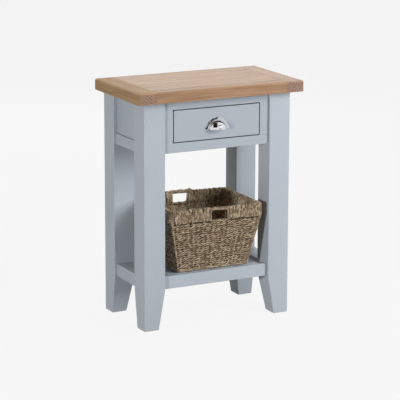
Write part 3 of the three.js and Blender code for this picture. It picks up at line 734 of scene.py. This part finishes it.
weave = Strands()
row_lift, row_wave, hole_spare = 0.0026, 0.0018, 0.003
row_share = np.arange(row_points) / row_points
for row in range(1, int((rim_top - 0.010) / row_pitch)):
    height = (row + 0.5) * row_pitch
    if abs(height - band_foot - 0.001) < row_pitch / 2:
        continue
    phase = math.pi * stitch_count * row_share + ripple(row_share, (3, 8, 17), 0.25)
    for strand in (0, math.pi):
        drift = ripple(row_share, (2, 5, 9, 23, 37, 61), 0.00042)
        swell = 1 + ripple(row_share, (7, 13, 31, 51, 83), 0.07)
        level = height + row_wave * np.sin(phase + strand) + drift
        proud = row_lift * (np.cos(phase + strand) - 1) - strand_radius + drift * 0.6
        path, out = wall_place(row_share, level, proud)
        radius = strand_radius * swell
        in_hole = by_handle(path, hole_spare) & (hole_low - hole_spare < height < hole_high + hole_spare)
        if not in_hole.any():
            weave.lay(path, out, radius, closed=True, sides=5)
            continue
        first = int(np.flatnonzero(in_hole)[0])
        order = np.roll(np.arange(row_points), -first)
        kept = ~in_hole[order]
        starts = np.flatnonzero(kept & ~np.roll(kept, 1))
        for begin in starts:
            stop = begin + int(np.argmin(np.append(kept[begin:], False)))
            run = order[begin:stop]
            if len(run) > 3:
                weave.lay(path[run], out[run], radius[run], sides=5)

# The stakes' outward faces get painted shade, to show dark in the gaps between the rows.
for stake in range(stake_count):
    share = stake / stake_count
    under_hole = by_handle(wall_place(share, band_foot)[0], 0.002)
    height = np.linspace(0.004, hole_low - hole_spare if under_hole else rim_top - 0.010, stake_points)
    path, out = wall_place(share, height, np.full(stake_points, -strand_radius - row_lift - 0.0016))
    path[:, :2] += chance.normal(0, 0.0002, (stake_points, 2))
    weave.lay(path, out, stake_radius, flat=0.36, shaded=True)

edge_points, edge_radius, edge_pitch = 420, 0.0030, 0.011
edge_share = np.arange(edge_points) / edge_points
edge_proud = ripple(edge_share, (11, 23, 41, 67), 0.0005) - 0.0024
edge_path, edge_out = wall_place(edge_share, 0.0044, edge_proud)
edge_path[:, 2] += abs(ripple(edge_share, (13, 29, 47, 71), 0.0011))
weave.twist(edge_path, edge_out, edge_radius, edge_pitch, closed=True)
cord_points, cord_radius, cord_pitch, search_points = 76, 0.0027, 0.012, 4000
search = np.arange(search_points) / search_points
spots = wall_place(search, 0.09)[0]
for way_x, way_y in ((1, -1), (1, 1), (-1, 1), (-1, -1)):
    share = search[np.argmax(spots[:, 0] * way_x + spots[:, 1] * way_y)]
    height = np.linspace(0.003, band_foot + 0.003, cord_points)
    path, out = wall_place(share, height, np.full(cord_points, 0.0002))
    weave.twist(path, out, cord_radius, cord_pitch)

base_pitch, base_radius, base_level, base_wave, base_step = 0.0062, 0.0030, 0.0042, 0.0015, 0.0026
for across, reach_x, reach_y in ((0, base_half[0], base_half[1]), (1, base_half[1], base_half[0])):
    lines = int((reach_y - 0.006) / base_pitch)
    for line in range(-lines, lines + 1):
        reach = reach_x - 0.004 - (0.006 if abs(line) > lines - 1 else 0)
        place = np.linspace(-reach, reach, int(reach * 2 / base_step))
        level = base_level + base_wave * np.cos(math.pi * (place / base_pitch + line + across))
        other = np.full_like(place, line * base_pitch) + chance.normal(0, 0.0001)
        path = np.stack([place, other, level] if across == 0 else [other, place, level], 1)
        weave.lay(path, np.tile([0.0, 0.0, 1.0], (len(place), 1)), base_radius, flat=0.7, sides=5)
weave.piece("basket_weave", (wall_grass, painted_shade_grass), "basket_body")

# Rim band: seagrass strands wound in pairs over the rim, outside and in, round a hoop of dark annealed wire.
# Front and back have a handle hole, 58 by 34 mm, and the winding there goes round the bar above it and the
# strip below it.
wrap_grass = seagrass("seagrass_wound", rgb(0.70, 0.575, 0.42), rgb(0.29, 0.205, 0.12), rgb(0.08, 0.05, 0.025))
wraps = Strands()
pair_pitch, wrap_radius, turn_points = 0.0119, 0.0016, 28
band_round = 4 * (rim_half[0] + rim_half[1] - 2 * corner_radius + corner_radius * math.pi / 2)
pairs = round(band_round / pair_pitch)
wall_round = band_round - 4 * (rim_half[0] + rim_half[1] - wall_half[0] - wall_half[1])
outer_proud, inner_proud = rim_half[0] - wall_half[0] - wrap_radius, -0.0118


def squared(wave, power):
    """A wave of 1 high, squarer the smaller the power."""
    return np.sign(wave) * abs(wave) ** power


def wind(share, *spans):
    """One turn of the winding at a share of the way round, once for each span of heights."""
    for low, high in spans:
        lean = chance.normal(0, 0.0012)
        angle = np.linspace(0, 2 * math.pi, turn_points, endpoint=False)
        depth = (outer_proud - inner_proud) / 2 * squared(np.cos(angle), 0.32)
        rise = squared(np.sin(angle), 0.45)
        level = (low + high) / 2 + (high - low) / 2 * rise
        slant = lean * rise * min(1.0, (high - low) / 0.008)
        spread = share + (slant + chance.normal(0, 0.0001, turn_points)) / band_round
        bulge = 1 + 0.12 * np.sin(chance.random() * 6.28 + level * 400)
        proud = (outer_proud + inner_proud) / 2 + depth + chance.normal(0, 0.00012, turn_points)
        path, outs = wall_place(spread, rim_top, proud)
        path[:, 2] = level
        wraps.lay(path, np.cross(outs, [0.0, 0.0, 1.0]), wrap_radius * 1.12 * bulge, closed=True, flat=1.35)


for pair in range(pairs):
    for member in (-1, 1):
        share = (pair + 0.235 * member + chance.normal(0, 0.025)) / pairs
        crest = rim_top - wrap_radius - abs(chance.normal(0, 0.0012))
        hem = band_foot + wrap_radius + abs(chance.normal(0, 0.0012))
        if by_handle(wall_place(share, rim_top)[0], 0.0045):
            wind(share, (hole_high + 0.0022, crest), (hem, hole_low - 0.0022))
        else:
            wind(share, (hem, crest))
for start, way, middle in ((0.0, 1, handle_middles[0]), (0.5, -1, handle_middles[1])):
    for side in (-1, 1):
        beside = middle + side * (hole_half + 0.0040)
        wind(start + way * beside / wall_round, (band_foot + wrap_radius, rim_top - wrap_radius))
hoop_low, hoop_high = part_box("basket_rim_hoop")
hoop_radius, hoop_points = (hoop_high.z - hoop_low.z) / 2, 320
hoop_proud = np.full(hoop_points, hoop_high.x - hoop_radius - basket_foot.x - wall_half[0])
hoop_path, hoop_out = wall_place(np.arange(hoop_points) / hoop_points, rim_top, hoop_proud)
hoop_path[:, 2] = (hoop_low.z + hoop_high.z) / 2 - basket_foot.z
core_radius, core_drop = 0.0024, 0.0026
# A strand under the hoop, with painted shade on its outward faces, fills the band's inside with dark.
wraps.lay(hoop_path - [0, 0, hoop_radius + core_drop], hoop_out, core_radius, closed=True, shaded=True)
wraps.piece("basket_rim_wraps", (wrap_grass, painted_shade_grass), "basket_rim_band")


def annealed_wire():
    material, place = begin_finish("annealed_wire")
    scale = place.mottle((0.003, 0.003, 0.003), 3.0)
    colour = scale.fade(0.35, 0.65).mix(rgb(0.11, 0.10, 0.095), rgb(0.085, 0.055, 0.035))
    end_finish(place, colour, 0.5 + scale * 0.3, scale, 0.0001, Metallic=0.8)
    return material


hoop = Strands()
hoop.lay(hoop_path, hoop_out, hoop_radius, closed=True, sides=10)
hoop.piece("basket_hoop", (annealed_wire(),), "basket_rim_hoop", slot="steel")

# Handle frames: round each handle hole runs a paler cord of two twisted strands, bent to a rounded oblong and
# sewn to the outside of the band.
pale_grass = seagrass("seagrass_pale", rgb(0.52, 0.42, 0.30), rgb(0.38, 0.29, 0.19), rgb(0.17, 0.12, 0.07))
handle_points, handle_radius, handle_pitch = 120, 0.0023, 0.009
for end in ("front", "back"):
    cord = Strands()
    node = f"basket_{end}_handle_cord"
    low, high = (np.array(corner) - np.array(basket_foot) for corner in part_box(node))
    half_x, half_z = hole_half + handle_radius, (hole_high - hole_low) / 2 + handle_radius
    turn = np.arange(handle_points) / handle_points * 2 * math.pi
    x, z = half_x * squared(np.cos(turn), 0.3), half_z * squared(np.sin(turn), 0.3)
    path = np.stack([x, np.zeros(handle_points), z], 1) + (low + high) / 2
    out = np.tile([0.0, 1.0, 0.0], (handle_points, 1))
    cord.twist(path, out, handle_radius, handle_pitch, closed=True)
    cord.piece(f"basket_{end}_handle_frame", (pale_grass,), node)

# Studio: a wide pale floor that fades into a pale surround. A broad soft lamp stands in front at the right, and
# a small low one at the left throws the basket's shadow on the right leg. Weaker broad lamps hang above and
# stand behind. Glowing cards round the cup pull, seen only in reflections, paint reflections into its chrome:
# a white one in the place of the right front lamp, which is kept out of reflections, and black and grey ones
# for dark patches and stripes.
scene = bpy.context.scene
scene.view_settings.view_transform = "Standard"


def seen(start):
    """1 for the rays that show the background itself: straight to the lens, or by a gloss or through glass."""
    rays = ("Is Camera Ray", "Is Glossy Ray", "Is Transmission Ray")
    camera_ray, glossy_ray, clear_ray = (start.node("ShaderNodeLightPath", output=ray) for ray in rays)
    return camera_ray.most(glossy_ray).most(clear_ray)


world = bpy.data.worlds.new("studio")
world.use_nodes = True
world.node_tree.nodes.clear()
air = Tone(world.node_tree)
room = air.node("ShaderNodeBackground", sockets={"Color": rgb(0.052, 0.048, 0.043)})
backdrop = air.node("ShaderNodeBackground", sockets={"Color": rgb(0.921, 0.921, 0.921)})
surround = air.node("ShaderNodeMixShader", sockets={0: seen(air), 1: room, 2: backdrop})
air.node("ShaderNodeOutputWorld", sockets={"Surface": surround})
scene.world = world


def flat_mesh(name, half_x, half_y, finish):
    """A flat sheet that reaches so far to each side of its middle."""
    mesh = bpy.data.meshes.new(name)
    corners = [(x * half_x, y * half_y, 0) for x, y in ((-1, -1), (1, -1), (1, 1), (-1, 1))]
    mesh.from_pydata(corners, [], [(0, 1, 2, 3)])
    mesh.materials.append(finish)
    return mesh


floor_reach = 40.0
floor_material, floor_place = begin_finish("floor")
floor_seen = seen(floor_place)
floor_tone = floor_seen.mix(rgb(0.18, 0.18, 0.18), rgb(0.92, 0.92, 0.92))
matt = floor_place.node("ShaderNodeBsdfDiffuse", sockets={"Color": floor_tone})
glow = floor_place.node("ShaderNodeEmission", sockets={"Color": rgb(0.93, 0.93, 0.93)})
shown = floor_place.node("ShaderNodeMixShader", sockets={0: floor_seen * 0.96, 1: matt, 2: glow})
floor_place.node("ShaderNodeOutputMaterial", sockets={"Surface": shown})
floor = bpy.data.objects.new("floor", flat_mesh("floor", floor_reach, floor_reach, floor_material))
scene.collection.objects.link(floor)


def way_to(azimuth, elevation):
    """The way out to a lamp or card, in degrees round from straight in front and in degrees up."""
    turn, tip = math.radians(azimuth), math.radians(elevation)
    return Vector((math.sin(turn) * math.cos(tip), -math.cos(turn) * math.cos(tip), math.sin(tip)))


def lamp(name, azimuth, elevation, distance, size, level, in_gloss=True):
    """A square soft lamp that faces the table. At level 1 a surface turned to it shows its own colour."""
    aim = Vector((0, 0, 0.42))
    place = aim + way_to(azimuth, elevation) * distance
    light = bpy.data.lights.new(name, "AREA")
    light.shape, light.size = "SQUARE", size
    light.energy = level * math.pi ** 2 * (place - aim).length_squared
    made = bpy.data.objects.new(name, light)
    made.location = place
    made.rotation_euler = (aim - place).to_track_quat("-Z", "Y").to_euler()
    made.visible_glossy = in_gloss
    scene.collection.objects.link(made)


lamp("right_front_lamp", 38, 21, 4.0, 2.1, 0.93, in_gloss=False)
lamp("left_front_lamp", -63, 8, 3.4, 0.42, 0.48, in_gloss=False)
lamp("high_lamp", 180, 80, 3.0, 1.8, 0.39)
lamp("back_lamp", 152, 30, 4.0, 2.4, 0.10)
lamp("rear_lamp", 182, 36, 4.0, 2.4, 0.12)
lamp("low_rear_lamp", 166, 16, 4.0, 1.6, 0.24, in_gloss=False)


# Each card glows at its level, so it shows in the chrome as a painted reflection.
def card_finish(name, level):
    material, place = begin_finish(name)
    tone = place.mottle((0.004, 0.004, 0.004), 2.0).mix(rgb(*[level * 0.9] * 3), rgb(*[level * 1.1] * 3))
    glow = place.node("ShaderNodeEmission", sockets={"Color": tone})
    place.node("ShaderNodeOutputMaterial", sockets={"Surface": glow})
    return material


def card(name, finish, azimuth, elevation, distance, width, height, lean=0.0, aside=0.0):
    """A glowing card that only a gloss sees, a painted reflection in the pull. It faces the pull, turned by the
    lean and moved aside.
    """
    ahead = way_to(azimuth, elevation)
    made = bpy.data.objects.new(name, flat_mesh(name, width / 2, height / 2, finish))
    facing = (-ahead).to_track_quat("-Z", "Y").to_matrix().to_4x4()
    shift = Matrix.Translation((aside, 0, 0)) @ Matrix.Rotation(math.radians(lean), 4, "Z")
    middle = Vector((0, pull_back, pull_foot + flange_height / 2))
    made.matrix_world = Matrix.Translation(middle + ahead * distance) @ facing @ shift
    made.visible_camera = made.visible_diffuse = made.visible_transmission = made.visible_shadow = False
    scene.collection.objects.link(made)


card_black, card_grey = card_finish("card_black", 0.012), card_finish("card_grey", 0.70)
card("white_card", card_finish("card_white", 1.15), 38, 21, 1.2, 0.62, 0.62)
card("front_card", card_black, -24, 42, 1.0, 0.80, 1.05)
card("low_card", card_black, 24, 28, 1.0, 0.85, 0.12)
card("upper_card", card_black, 0, 88, 0.045, 0.09, 0.03)
card("grey_card", card_grey, 27.6, -11, 0.5, 0.20, 0.14)
for number in range(5):
    card(f"striped_card_{number}", card_black, 27.6, -11, 0.2, 0.0066, 0.070, -35, -0.015 - 0.0092 * number)
